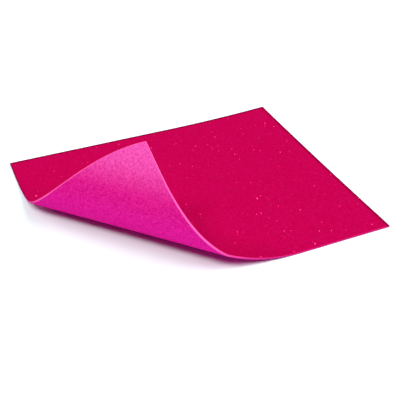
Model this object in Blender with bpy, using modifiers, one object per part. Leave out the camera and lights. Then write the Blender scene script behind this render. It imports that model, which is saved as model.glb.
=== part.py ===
# Craft foam sheet with a glitter face, lying on a level surface.
# The near left corner has curled up and over, and the far right corner lifts slightly.
# Metres, +Z up. The origin is under the centre of the sheet, at the level that it lies on.

import bmesh
import bpy
from math import ceil, cos, radians, sin
from mathutils import Vector

# The sheet as it was cut: 12 by 10 inches, 2 mm thick
SHEET_LENGTH = 0.3048
SHEET_WIDTH = 0.254
SHEET_THICKNESS = 0.002

# The curl starts on a slanted line across the near left corner.
# CURL_REACH is the way along the sheet from that line to the corner,
# and CURL_SLANT is the angle between the line and the sheet's long edge.
CURL_REACH = 0.149
CURL_SLANT = radians(47.6)

# From that line to the corner the sheet bends in three stretches, each with its own radius.
# The last stretch takes what is left of the reach.
RISE_LENGTH = 0.045
RISE_RADIUS = 0.070
FOLD_LENGTH = 0.010
FOLD_RADIUS = 0.022
FLAP_RADIUS = 0.050

# The far right corner lifts on one shallow arc. LIFT_REACH is the way from the line where
# that starts to the corner, and LIFT_SLANT is the angle between the line and the long edge.
LIFT_REACH = 0.110
LIFT_RADIUS = 1.25
LIFT_SLANT = radians(62.0)

# How finely the bent stretches are divided along the sheet
CURL_STEP = 0.003
LIFT_STEP = 0.018

# Colours of the two finishes
GLITTER_CRIMSON = (0.60, 0.002, 0.085, 1.0)
FOAM_PINK = (0.80, 0.04, 0.30, 1.0)


def clear_scene():
    for thing in list(bpy.data.objects):
        bpy.data.objects.remove(thing, do_unlink=True)


def make_collection(name):
    collection = bpy.data.collections.new(name)
    bpy.context.scene.collection.children.link(collection)
    return collection


def make_material(name, colour, roughness, metallic):
    material = bpy.data.materials.new(name)
    material.use_nodes = True
    shader = material.node_tree.nodes["Principled BSDF"]
    shader.inputs["Base Color"].default_value = colour
    shader.inputs["Roughness"].default_value = roughness
    shader.inputs["Metallic"].default_value = metallic
    material.diffuse_color = colour
    return material


def bend_chain(distance, stretches):
    """Follow a chain of arcs for a distance, and give how far it has gone forward and up."""
    forward = 0.0
    up = 0.0
    heading = 0.0
    for length, radius in stretches:
        along = min(max(distance, 0.0), length)
        turned = heading + along / radius
        forward += radius * (sin(turned) - sin(heading))
        up += radius * (cos(heading) - cos(turned))
        heading = turned
        distance -= length
    return forward, up


def cut_lines(sheet, corner, outward, reach, step):
    """Divide the sheet along parallel lines, from the line where a bend starts to the corner."""
    count = ceil(reach / step)
    for index in range(count):
        place = corner - outward * (reach - index * reach / count)
        geometry = sheet.verts[:] + sheet.edges[:] + sheet.faces[:]
        bmesh.ops.bisect_plane(sheet, geom=geometry, dist=1e-7, plane_co=place, plane_no=outward)


def bend_corner(sheet, corner, outward, reach, stretches):
    """Move every point past the start line onto the chain of arcs."""
    for point in sheet.verts:
        past = (point.co - corner).dot(outward) + reach
        if past <= 0.0:
            continue
        forward, up = bend_chain(past, stretches)
        point.co += outward * (forward - past)
        point.co.z += up


def make_sheet(collection, face_material, foam_material):
    """The underside as an open surface, bent at two corners and thickened upwards."""
    sheet = bmesh.new()
    bmesh.ops.create_grid(sheet, x_segments=1, y_segments=1, size=0.5)
    bmesh.ops.scale(sheet, vec=(SHEET_LENGTH, SHEET_WIDTH, 1.0), verts=sheet.verts[:])

    near_corner = Vector((-SHEET_LENGTH / 2, -SHEET_WIDTH / 2, 0.0))
    far_corner = Vector((SHEET_LENGTH / 2, SHEET_WIDTH / 2, 0.0))
    to_near = Vector((-sin(CURL_SLANT), -cos(CURL_SLANT), 0.0))
    to_far = Vector((sin(LIFT_SLANT), cos(LIFT_SLANT), 0.0))

    flap_length = CURL_REACH - RISE_LENGTH - FOLD_LENGTH
    curl = ((RISE_LENGTH, RISE_RADIUS), (FOLD_LENGTH, FOLD_RADIUS), (flap_length, FLAP_RADIUS))
    lift = ((LIFT_REACH, LIFT_RADIUS),)

    cut_lines(sheet, near_corner, to_near, CURL_REACH, CURL_STEP)
    cut_lines(sheet, far_corner, to_far, LIFT_REACH, LIFT_STEP)
    bend_corner(sheet, near_corner, to_near, CURL_REACH, curl)
    bend_corner(sheet, far_corner, to_far, LIFT_REACH, lift)

    mesh = bpy.data.meshes.new("foam_sheet")
    sheet.to_mesh(mesh)
    sheet.free()
    piece = bpy.data.objects.new("foam_sheet", mesh)
    collection.objects.link(piece)

    # The first material is the bare foam of the underside and the cut edges,
    # and the wall that the thickness adds on top takes the second
    mesh.materials.append(foam_material)
    mesh.materials.append(face_material)
    wall = piece.modifiers.new("thickness", "SOLIDIFY")
    wall.thickness = SHEET_THICKNESS
    wall.offset = 1.0
    wall.use_even_offset = True
    wall.use_rim = True
    wall.material_offset = 1
    wall.material_offset_rim = 0
    return piece


def main():
    clear_scene()
    collection = make_collection("craft_foam_sheet")
    glitter = make_material("glitter_coat", GLITTER_CRIMSON, 0.45, 0.3)
    foam = make_material("foam", FOAM_PINK, 0.8, 0.0)
    make_sheet(collection, glitter, foam)


main()
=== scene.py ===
import bpy
import numpy as np
from math import cos, pi, radians, sin
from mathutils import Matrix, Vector


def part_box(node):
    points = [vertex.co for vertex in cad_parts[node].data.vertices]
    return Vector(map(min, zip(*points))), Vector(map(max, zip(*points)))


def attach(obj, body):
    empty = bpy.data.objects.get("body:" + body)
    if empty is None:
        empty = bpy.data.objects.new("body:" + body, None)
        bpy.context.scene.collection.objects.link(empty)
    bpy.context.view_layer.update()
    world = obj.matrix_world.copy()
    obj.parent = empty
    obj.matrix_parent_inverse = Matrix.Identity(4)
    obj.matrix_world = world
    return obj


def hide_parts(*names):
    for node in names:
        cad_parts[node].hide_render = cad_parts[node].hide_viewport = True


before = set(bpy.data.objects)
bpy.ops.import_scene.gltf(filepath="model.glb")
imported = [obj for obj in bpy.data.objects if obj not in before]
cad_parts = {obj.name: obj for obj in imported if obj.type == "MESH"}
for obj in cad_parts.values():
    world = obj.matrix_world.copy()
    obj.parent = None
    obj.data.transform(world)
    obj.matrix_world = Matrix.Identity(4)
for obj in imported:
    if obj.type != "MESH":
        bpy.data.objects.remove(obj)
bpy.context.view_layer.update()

# The sheet's shape in metres and degrees. The coat is part of the thickness, and cells are the
# squares of the mesh along the sheet and across it. The cut wanders in and out by waves, each
# (times round the rim, share, phase).
# Two corners bend. Past a start line, given by its slant and its reach from the corner, each bend
# is (where it starts, its radius), and the last runs on to the corner. The curl has its own bends
# where it meets the sheet's left edge and where it meets the front edge: place is the way from the
# corner along the roll, and start is how far past the start line they begin.
sheetShape = {
    "thickness": 0.002,
    "coat": 0.00016,
    "cells": (152, 127),
    "wander": 0.00003,
    "waves": ((9, 1.0, 0.0), (23, 0.7, 1.1), (61, 0.5, 2.3)),
    "sharpAngle": 50.0,
    "easing": 0.003,
    "curl": {
        "side": -1.0,
        "slant": 46.94,
        "reach": 0.1487,
        "ends": (
            {"place": -0.108, "start": -0.0058, "bends": ((0.0, 0.1003), (0.0412, 0.0251), (0.0567, 0.0489))},
            {"place": 0.091, "start": -0.0042, "bends": ((0.0, 0.0807), (0.0540, 0.0110), (0.0573, 0.0450))},
        ),
    },
    "lift": {
        "side": 1.0,
        "slant": 62.0,
        "reach": 0.110,
        "ends": ({"place": 0.0, "start": 0.0, "bends": ((0.0, 1.565),)},),
    },
}
sheetLow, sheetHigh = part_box("foam_sheet")
halfLength = (sheetHigh.x - sheetLow.x) / 2
halfWidth = (sheetHigh.y - sheetLow.y) / 2


def bendTable(end, reach):
    # The curvature jumps where each bend starts, and each jump is eased in over a short way.
    # The heading is its running sum. Shift is the running sum of cos(heading) less the way along
    # the flat sheet, and up is the running sum of sin(heading).
    step = 0.00025
    ease = sheetShape["easing"]
    along = np.arange(-ease, reach + 2 * ease, step)
    starts, radii = np.array(end["bends"]).T
    jumps = np.diff(1 / radii, prepend=0.0)
    eased = np.clip((along - starts[:, None]) / ease + 0.5, 0, 1)
    heading = np.cumsum(jumps @ eased) * step
    shift = (np.cumsum(np.cos(heading)) - 1) * step + along[0] - along
    up = np.cumsum(np.sin(heading)) * step
    return along + end["start"], heading, shift, up


bentCorners = [
    (corner, [bendTable(end, corner["reach"]) for end in corner["ends"]])
    for corner in (sheetShape["curl"], sheetShape["lift"])
]


def bendSheet(x, y, height):
    # A point of the flat sheet, and its height over the underside, go to their place in space.
    # Past a bend's start line the point follows the tables of its two ends, mixed in proportion
    # to its place along the roll. The height is measured along the sheet's own normal, which
    # leans back by the heading.
    place = np.stack([x, y, np.zeros_like(x)], -1)
    normal = np.zeros_like(place)
    normal[..., 2] = 1.0
    for corner, tables in bentCorners:
        side = corner["side"]
        slant = radians(corner["slant"])
        out = side * np.array([sin(slant), cos(slant), 0.0])
        cornerX = x - side * halfLength
        cornerY = y - side * halfWidth
        past = cornerX * out[0] + cornerY * out[1] + corner["reach"]
        across = cornerX * cos(slant) - cornerY * sin(slant)
        firstPlace = corner["ends"][0]["place"]
        lastPlace = corner["ends"][-1]["place"]
        share = (across - firstPlace) / (lastPlace - firstPlace) if lastPlace > firstPlace else 0.0
        first, last = tables[0], tables[-1]
        heading, shift, up = [
            np.interp(past, first[0], firstRow) * (1 - share) + np.interp(past, last[0], lastRow) * share
            for firstRow, lastRow in zip(first[1:], last[1:])
        ]
        place += shift[..., None] * out
        place[..., 2] += up
        normal -= np.sin(heading)[..., None] * out
        normal[..., 2] += np.cos(heading) - 1.0
    return place + normal * np.asarray(height)[..., None]


def makePiece(name, points, faces, materials, faceMaterials=None):
    # A mesh from an array of points and a list of face arrays. faceMaterials gives each face
    # its material, by number.
    mesh = bpy.data.meshes.new(name)
    rows = [row for block in faces for row in block.tolist()]
    mesh.from_pydata(points.reshape(-1, 3).tolist(), [], rows)
    for material in materials:
        mesh.materials.append(material)
    if faceMaterials is not None:
        mesh.polygons.foreach_set("material_index", faceMaterials.astype(np.int32))
    mesh.update()
    piece = bpy.data.objects.new(name, mesh)
    bpy.context.scene.collection.objects.link(piece)
    return piece


def addAttribute(piece, name, values):
    # One number for each point, which a material reads by its name.
    attribute = piece.data.attributes.new(name, "FLOAT", "POINT")
    attribute.data.foreach_set("value", values.astype(np.float32))


def slabPiece(name, levels, materials):
    # A closed slab over the whole outline, shaded smooth. A level is (inset from the cut edge,
    # height): the first carries the top grid, the last the bottom grid, and those between are
    # rings round the rim. The cut wanders by a sum of sines of the way round the rim, and stays
    # inside the outline. The slab comes back with its points' x and y on the flat sheet.
    countX, countY = sheetShape["cells"]
    wander = sheetShape["wander"]
    waves = sheetShape["waves"]
    gridX, gridY = np.meshgrid(np.linspace(-1, 1, countX + 1), np.linspace(-1, 1, countY + 1), indexing="ij")
    number = np.arange(gridX.size).reshape(gridX.shape)
    rim = np.concatenate([number[:-1, 0], number[-1, :-1], number[:0:-1, -1], number[0, :0:-1]])
    around = np.linspace(0, 2 * pi, len(rim), endpoint=False)
    drift = np.zeros(gridX.size)
    drift[rim] = wander * sum(share * np.sin(times * around + phase) for times, share, phase in waves)
    drift = drift.reshape(gridX.shape)
    mostDrift = wander * sum(share for times, share, phase in waves)

    blocks = []
    flatBlocks = []
    for index, (inset, height) in enumerate(levels):
        x = gridX * (halfLength - inset - mostDrift - drift)
        y = gridY * (halfWidth - inset - mostDrift - drift)
        points = bendSheet(x, y, np.full_like(x, height)).reshape(-1, 3)
        flatPoints = np.stack([x, y], -1).reshape(-1, 2)
        whole = index in (0, len(levels) - 1)
        blocks.append(points if whole else points[rim])
        flatBlocks.append(flatPoints if whole else flatPoints[rim])
    starts = np.cumsum([0] + [len(block) for block in blocks])
    rings = [rim + starts[0]]
    rings += [np.arange(len(rim)) + start for start in starts[1:-2]]
    rings += [rim + starts[-2]]

    quads = np.stack([number[:-1, :-1], number[1:, :-1], number[1:, 1:], number[:-1, 1:]], -1).reshape(-1, 4)
    strips = [
        np.stack([lower, np.roll(lower, -1), np.roll(upper, -1), upper], -1)
        for upper, lower in zip(rings[:-1], rings[1:])
    ]
    faces = [quads, *strips, quads[:, ::-1] + starts[-2]]
    rimFaces = len(rim) * len(strips)
    which = np.concatenate([np.zeros(len(quads)), np.ones(rimFaces), np.zeros(len(quads))])
    which = np.minimum(which, len(materials) - 1)
    piece = makePiece(name, np.concatenate(blocks), faces, materials, which)
    piece.data.shade_smooth()
    piece.data.set_sharp_from_angle(angle=radians(sheetShape["sharpAngle"]))
    return piece, np.concatenate(flatBlocks)


def newMaterial(name, look):
    # A material with the look's own values set on the shader's sockets.
    material = bpy.data.materials.new(name)
    material.use_nodes = True
    tree = material.node_tree
    shader = tree.nodes["Principled BSDF"]
    sockets = {
        "roughness": "Roughness",
        "metallic": "Metallic",
        "specular": "Specular IOR Level",
        "grazingTint": "Specular Tint",
    }
    for key, socket in sockets.items():
        if key in look:
            shader.inputs[socket].default_value = look[key]
    return material, tree, shader


def addNode(tree, kind, inputs=None, **settings):
    # A node with its settings, and with its inputs linked or set.
    node = tree.nodes.new(kind)
    for key, value in settings.items():
        setattr(node, key, value)
    for key, value in (inputs or {}).items():
        if isinstance(value, bpy.types.NodeSocket):
            tree.links.new(value, node.inputs[key])
        else:
            node.inputs[key].default_value = value
    return node


def vectorStep(tree, operation, inputs):
    # One step of sums on vectors or colours.
    return addNode(tree, "ShaderNodeVectorMath", inputs, operation=operation).outputs["Vector"]


def speckle(tree, where, scale, detail):
    # Soft noise in the object's own space, around 0.5.
    noise = addNode(tree, "ShaderNodeTexNoise", {"Vector": where, "Scale": scale, "Detail": detail})
    return noise.outputs["Fac"]


def ramp(tree, value, ends, colours):
    # Two colours, blended while the value goes from one end to the other.
    share = addNode(tree, "ShaderNodeMapRange", {"Value": value, "From Min": ends[0], "From Max": ends[1]})
    mix = addNode(tree, "ShaderNodeMix", {"Factor": share.outputs["Result"]}, data_type="RGBA")
    mix.inputs["A"].default_value = (*colours[0], 1.0)
    mix.inputs["B"].default_value = (*colours[1], 1.0)
    return mix.outputs["Result"]


def blendBy(tree, name, first, second):
    # Two colours, blended by one of the piece's attributes.
    share = addNode(tree, "ShaderNodeAttribute", attribute_name=name).outputs["Fac"]
    mix = addNode(tree, "ShaderNodeMix", {"Factor": share}, data_type="RGBA")
    tree.links.new(first, mix.inputs["A"])
    tree.links.new(second, mix.inputs["B"])
    return mix.outputs["Result"]


# The foam under the coat. Each tone is a pair of colours, for the low and the high end of its
# pattern. The cut face is the hollow, as (inset, share of the foam's thickness), and then the worn
# lower arris, as (inset, height). Between two heights over the table, each of three masks grows
# smoothly from 0 to 1: painted shade over the middle of the flap, a painted sheen towards its
# corner, and the share of the cut edge's lit tone over its painted shade near the table.
foamLook = {
    "hollow": ((0.0, 1.0), (0.00004, 0.75), (0.00006, 0.5), (0.00004, 0.25)),
    "arris": ((0.00006, 0.00034), (0.00022, 0.00014), (0.00044, 0.00004), (0.00070, 0.0)),
    "heights": {"flapPaintedShade": (0.034, 0.060), "flapPaintedSheen": (0.056, 0.092), "lifted": (0.003, 0.040)},
    "skin": {
        "plain": ((0.65, 0.001, 0.222), (0.88, 0.019, 0.345)),
        # The second and third tones are painted shade and a painted sheen on the flap's underside.
        "flapPaintedShade": ((0.555, 0.001, 0.166), (0.75, 0.017, 0.264)),
        "flapPaintedSheen": ((0.51, 0.033, 0.238), (0.70, 0.092, 0.382)),
        "roughness": 0.8,
        "specular": 0.0,
        "mottleScale": 540.0,
        "mottleDetail": 4.0,
        "mottleEnds": (0.3, 0.7),
        "dimpleScale": 3200.0,
        "dimpleDetail": 3.0,
        "dimpleStrength": 0.5,
        "dimpleDepth": 0.0003,
    },
    "cut": {
        # The first tone is painted shade on the cut edge near the table, the second its lit tone.
        "cutPaintedShade": ((0.49, 0.006, 0.155), (0.64, 0.026, 0.25)),
        "cutLitTone": ((0.84, 0.05, 0.34), (1.0, 0.13, 0.46)),
        "roughness": 0.9,
        "specular": 0.1,
        "poreScale": 4200.0,
        "poreEnds": (0.25, 0.75),
        "poreStrength": 0.6,
        "poreDepth": 0.00015,
    },
}


def bareFoamMaterial():
    # The moulded skin of the underside: fine dimples over a faint mottle. Along the flap it is
    # darkened by painted shade and then made paler towards its corner by a painted sheen, by the
    # piece's own attributes.
    look = foamLook["skin"]
    material, tree, shader = newMaterial("bareFoamSkin", look)
    where = addNode(tree, "ShaderNodeTexCoord").outputs["Object"]
    mottle = speckle(tree, where, look["mottleScale"], look["mottleDetail"])
    plain, flapPaintedShade, flapPaintedSheen = [
        ramp(tree, mottle, look["mottleEnds"], look[tone])
        for tone in ("plain", "flapPaintedShade", "flapPaintedSheen")
    ]
    # Painted shade over the middle of the flap, then a painted sheen towards its corner.
    colour = blendBy(tree, "flapPaintedSheen", blendBy(tree, "flapPaintedShade", plain, flapPaintedShade), flapPaintedSheen)
    tree.links.new(colour, shader.inputs["Base Color"])
    dimples = speckle(tree, where, look["dimpleScale"], look["dimpleDetail"])
    bump = addNode(tree, "ShaderNodeBump", {
        "Height": dimples, "Strength": look["dimpleStrength"], "Distance": look["dimpleDepth"]})
    tree.links.new(bump.outputs["Normal"], shader.inputs["Normal"])
    return material


def cutFoamMaterial():
    # The cut edge shows opened cells: paler walls round small dark pores. Near the table it is
    # darkened by painted shade, and the piece's own attribute lifted gives the share of the lit tone.
    look = foamLook["cut"]
    material, tree, shader = newMaterial("cutFoamCells", look)
    where = addNode(tree, "ShaderNodeTexCoord").outputs["Object"]
    pores = addNode(tree, "ShaderNodeTexVoronoi", {"Vector": where, "Scale": look["poreScale"]})
    pores = pores.outputs["Distance"]
    cutPaintedShade = ramp(tree, pores, look["poreEnds"], look["cutPaintedShade"])
    cutLitTone = ramp(tree, pores, look["poreEnds"], look["cutLitTone"])
    # Painted shade near the table, fading into the lit tone with height.
    tree.links.new(blendBy(tree, "lifted", cutPaintedShade, cutLitTone), shader.inputs["Base Color"])
    bump = addNode(tree, "ShaderNodeBump", {
        "Height": pores, "Strength": look["poreStrength"], "Distance": look["poreDepth"]})
    tree.links.new(bump.outputs["Normal"], shader.inputs["Normal"])
    return material


def foamBody():
    # The foam under the coat: the hollow cut face, and then the worn arris down to the underside.
    # With the rise as a share of its two heights, an attribute is rise * rise * (3 - 2 * rise).
    top = sheetShape["thickness"] - sheetShape["coat"]
    levels = [(inset, share * top) for inset, share in foamLook["hollow"]]
    levels += foamLook["arris"]
    piece, flatPoints = slabPiece("foamBody", levels, [bareFoamMaterial(), cutFoamMaterial()])
    spots = np.empty(len(flatPoints) * 3)
    piece.data.vertices.foreach_get("co", spots)
    # These masks carry the flap's painted shade and painted sheen and the cut edge's painted shade.
    for name, (low, high) in foamLook["heights"].items():
        rise = np.clip((spots[2::3] - low) / (high - low), 0, 1)
        addAttribute(piece, name, rise * rise * (3 - 2 * rise))
    return piece


# The coat over the face. The tones are for the low and the high end of its grain, and the upper
# arris turns down to the cut, as (inset, depth under the face). The rim along the left, right and
# back edges is darkened by painted shade, and it is narrower along the left one.
coatLook = {
    "arris": ((0.00160, 0.0), (0.00090, 0.0), (0.00034, 0.0), (0.00014, 0.00002), (0.00004, 0.00007)),
    "tones": ((0.462, 0.0, 0.043), (0.60, 0.0019, 0.110)),
    "toneEnds": (0.2, 0.8),
    "grainScale": 2600.0,
    "mottleScale": 340.0,
    "mottleDetail": 3.0,
    "mottleShare": 0.6,
    "tilt": 0.4,
    "roughness": 0.5,
    "metallic": 0.35,
    "specular": 0.0,
    "grazingTint": (1.0, 0.4, 0.6, 1.0),
    "rimWidth": 0.0045,
    "leftRimWidth": 0.0018,
    # Painted shade for the rim, from the cut inwards.
    "paintedRimShades": ((0.32, 0.32, 0.32), (1.0, 1.0, 1.0)),
}


def glitterCoatMaterial():
    # Packed flakes: every cell of a fine cell pattern leans its own way and has its own tone.
    # The attribute fromEdge, the way in from the nearest shaded edge, fades the painted rim shade out.
    material, tree, shader = newMaterial("glitterCoat", coatLook)
    where = addNode(tree, "ShaderNodeTexCoord").outputs["Object"]
    grain = addNode(tree, "ShaderNodeTexVoronoi", {"Vector": where, "Scale": coatLook["grainScale"]})
    grain = grain.outputs["Color"]
    tone = addNode(tree, "ShaderNodeSeparateColor", {"Color": grain}).outputs["Red"]
    mottle = speckle(tree, where, coatLook["mottleScale"], coatLook["mottleDetail"])
    both = addNode(
        tree, "ShaderNodeMix", {"Factor": coatLook["mottleShare"], "A": tone, "B": mottle}, data_type="FLOAT")
    colour = ramp(tree, both.outputs["Result"], coatLook["toneEnds"], coatLook["tones"])
    inward = addNode(tree, "ShaderNodeAttribute", attribute_name="fromEdge").outputs["Fac"]
    # Painted shade along the left, right and back rims.
    paintedRimShade = ramp(tree, inward, (0.0, coatLook["rimWidth"]), coatLook["paintedRimShades"])
    colour = vectorStep(tree, "MULTIPLY", {0: colour, 1: paintedRimShade})
    tree.links.new(colour, shader.inputs["Base Color"])
    lean = vectorStep(tree, "SUBTRACT", {0: grain, 1: (0.5, 0.5, 0.5)})
    lean = vectorStep(tree, "SCALE", {0: lean, "Scale": coatLook["tilt"]})
    straight = addNode(tree, "ShaderNodeNewGeometry").outputs["Normal"]
    normal = vectorStep(tree, "ADD", {0: straight, 1: lean})
    normal = vectorStep(tree, "NORMALIZE", {0: normal})
    tree.links.new(normal, shader.inputs["Normal"])
    return material


def glitterCoat():
    # The coat over the face. The attribute fromEdge is the least way in from the left, right and
    # back edges, and from the left one it grows faster, by the ratio of the two rim widths.
    top = sheetShape["thickness"]
    levels = [(inset, top - depth) for inset, depth in coatLook["arris"]]
    levels += [(0.0, top - sheetShape["coat"])]
    piece, flatPoints = slabPiece("glitterCoat", levels, [glitterCoatMaterial()])
    x, y = flatPoints.T
    leftGain = coatLook["rimWidth"] / coatLook["leftRimWidth"]
    inward = np.minimum(halfLength - x, leftGain * (halfLength + x))
    addAttribute(piece, "fromEdge", np.minimum(inward, halfWidth - y))
    return piece


# The separate flakes, in metres and degrees. A size is picked for each flake at random, and the
# tone's two numbers make most flakes dull and a few pink. A raised flake is larger and steeper.
flakeLook = {
    "count": 7000,
    "corners": 6,
    "radius": (0.00014, 0.00034),
    "sizes": (1.0, 1.0, 1.0, 1.5),
    "thickness": 0.00003,
    "sunk": 0.00002,
    "lean": 11.0,
    "leanLift": 0.4,
    "raisedShare": 0.13,
    "raisedSize": 1.4,
    "raisedLean": (15.0, 50.0),
    "margin": 0.0006,
    "toneSpread": (1.2, 3.0),
    "tones": ((0.80, 0.001, 0.120), (1.0, 0.11, 0.36)),
    "grazingTint": (1.0, 0.2, 0.4, 1.0),
    "roughness": 0.35,
    "metallic": 0.75,
    "specular": 0.5,
    "seed": 11,
}


def flakeMaterial():
    # Foil flakes, from the coat's own crimson to a lighter pink, by each flake's tone.
    material, tree, shader = newMaterial("glitterFlake", flakeLook)
    tone = addNode(tree, "ShaderNodeAttribute", attribute_name="flakeTone").outputs["Fac"]
    tree.links.new(ramp(tree, tone, (0.0, 1.0), flakeLook["tones"]), shader.inputs["Base Color"])
    return material


def glitterFlakes():
    # Hexagonal flakes lie in the coat. A flake's corners are at equal turns round its centre,
    # raised by the lean times their distance from the axis it leans about. A few stand up more
    # steeply and catch the light.
    rng = np.random.default_rng(flakeLook["seed"])
    count = flakeLook["count"]
    centreX = rng.uniform(-1, 1, count) * (halfLength - flakeLook["margin"])
    centreY = rng.uniform(-1, 1, count) * (halfWidth - flakeLook["margin"])
    radius = rng.uniform(*flakeLook["radius"], count) * rng.choice(flakeLook["sizes"], count)
    turn = rng.uniform(0, 2 * pi, count)
    leanWay = rng.uniform(0, 2 * pi, count)
    lean = np.abs(rng.normal(0, flakeLook["lean"], count))
    raised = rng.random(count) < flakeLook["raisedShare"]
    radius = np.where(raised, radius * flakeLook["raisedSize"], radius)
    lean = np.tan(np.radians(np.where(raised, rng.uniform(*flakeLook["raisedLean"], count), lean)))
    tone = rng.beta(*flakeLook["toneSpread"], count)

    corners = flakeLook["corners"]
    ring = np.arange(corners)
    corner = turn[:, None] + ring * 2 * pi / corners
    offsetX = radius[:, None] * np.cos(corner)
    offsetY = radius[:, None] * np.sin(corner)
    rise = lean[:, None] * (offsetX * np.cos(leanWay)[:, None] + offsetY * np.sin(leanWay)[:, None])
    level = sheetShape["thickness"] + flakeLook["thickness"] - flakeLook["sunk"]
    middle = level + flakeLook["leanLift"] * lean * radius
    upper = middle[:, None] + rise
    lower = upper - flakeLook["thickness"]
    flatX = np.repeat((centreX[:, None] + offsetX)[:, None], 2, 1)
    flatY = np.repeat((centreY[:, None] + offsetY)[:, None], 2, 1)
    points = bendSheet(flatX, flatY, np.stack([upper, lower], 1))

    first = np.arange(count)[:, None] * 2 * corners
    ahead = np.roll(ring, -1)
    tops = first + ring
    bottoms = first + corners + ring[::-1]
    sides = np.stack([ring + corners, ahead + corners, ahead, ring], -1)[None] + first[..., None]
    piece = makePiece("glitterFlakes", points, [tops, bottoms, sides.reshape(-1, 4)], [flakeMaterial()])
    addAttribute(piece, "flakeTone", np.repeat(tone, 2 * corners))
    return piece


tableLook = {
    "half": 3.0,
    "drop": 0.0002,
    "colour": (0.77, 0.90, 0.91, 1.0),
    "roughness": 0.9,
    "specular": 0.0,
}


def whiteFloor():
    # A wide level table, just under the sheet.
    half = tableLook["half"]
    drop = tableLook["drop"]
    corners = np.array([
        [-half, -half, -drop], [half, -half, -drop],
        [half, half, -drop], [-half, half, -drop],
    ])
    material, tree, shader = newMaterial("whiteTable", tableLook)
    shader.inputs["Base Color"].default_value = tableLook["colour"]
    return makePiece("whiteTable", corners, [np.array([[0, 1, 2, 3]])], [material])


# Soft lamps far away, as (azimuth, elevation, strength, spread), with the angles in degrees. The
# room looks white and adds a faint even light.
lightLook = {
    "sky": 0.02,
    "lamps": {
        "rightLamp": (60.0, 50.0, 3.00, 44.0),
        "leftLamp": (285.0, 55.0, 0.92, 15.0),
        "frontLamp": (345.0, 55.0, 0.86, 15.0),
        "topLamp": (300.0, 70.0, 0.85, 30.0),
        "lowBackLamp": (225.0, 25.0, 0.95, 30.0),
    },
}


def wayTo(azimuth, elevation):
    # The direction from the sheet towards a lamp or the camera. Azimuth 0 is the front, where y is
    # negative, and 90 is the right.
    turned, raised = radians(azimuth), radians(elevation)
    return Vector((sin(turned) * cos(raised), -cos(turned) * cos(raised), sin(raised)))


def lightScene():
    world = bpy.data.worlds.new("paleRoom")
    world.use_nodes = True
    tree = world.node_tree
    seen = addNode(tree, "ShaderNodeLightPath").outputs["Is Camera Ray"]
    glow = addNode(tree, "ShaderNodeMapRange", {"Value": seen, "To Min": lightLook["sky"], "To Max": 1.0})
    background = tree.nodes["Background"]
    background.inputs["Color"].default_value = (1.0, 1.0, 1.0, 1.0)
    tree.links.new(glow.outputs["Result"], background.inputs["Strength"])
    bpy.context.scene.world = world
    for name, (azimuth, elevation, strength, spread) in lightLook["lamps"].items():
        lamp = bpy.data.lights.new(name, "SUN")
        lamp.energy = strength
        lamp.angle = radians(spread)
        holder = bpy.data.objects.new(name, lamp)
        holder.rotation_euler = (-wayTo(azimuth, elevation)).to_track_quat("-Z", "Y").to_euler()
        bpy.context.scene.collection.objects.link(holder)
    bpy.context.scene.view_settings.view_transform = "Standard"


# The photograph's view: a 62 mm lens on a 36 mm frame, 35 degrees above the table.
cameraLook = {
    "frameWidth": 36.0,
    "lens": 61.99,
    "aim": (0.00721, -0.01493, 0.0),
    "azimuth": -23.70,
    "elevation": 35.19,
    "distance": 0.68278,
}


def placeCamera():
    camera = bpy.data.cameras.new("tableCamera")
    camera.sensor_width = cameraLook["frameWidth"]
    camera.lens = cameraLook["lens"]
    way = wayTo(cameraLook["azimuth"], cameraLook["elevation"])
    holder = bpy.data.objects.new("tableCamera", camera)
    holder.location = Vector(cameraLook["aim"]) + way * cameraLook["distance"]
    holder.rotation_euler = (-way).to_track_quat("-Z", "Y").to_euler()
    bpy.context.scene.collection.objects.link(holder)
    bpy.context.scene.camera = holder


placeCamera()
print("camera placed")
lightScene()
whiteFloor()
print("table and light made")

body = foamBody()
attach(body, "root")
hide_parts("foam_sheet")
print("foam body made")

coat = glitterCoat()
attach(coat, "root")
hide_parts("foam_sheet")
print("glitter coat made")

flakes = glitterFlakes()
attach(flakes, "root")
print("glitter flakes made")
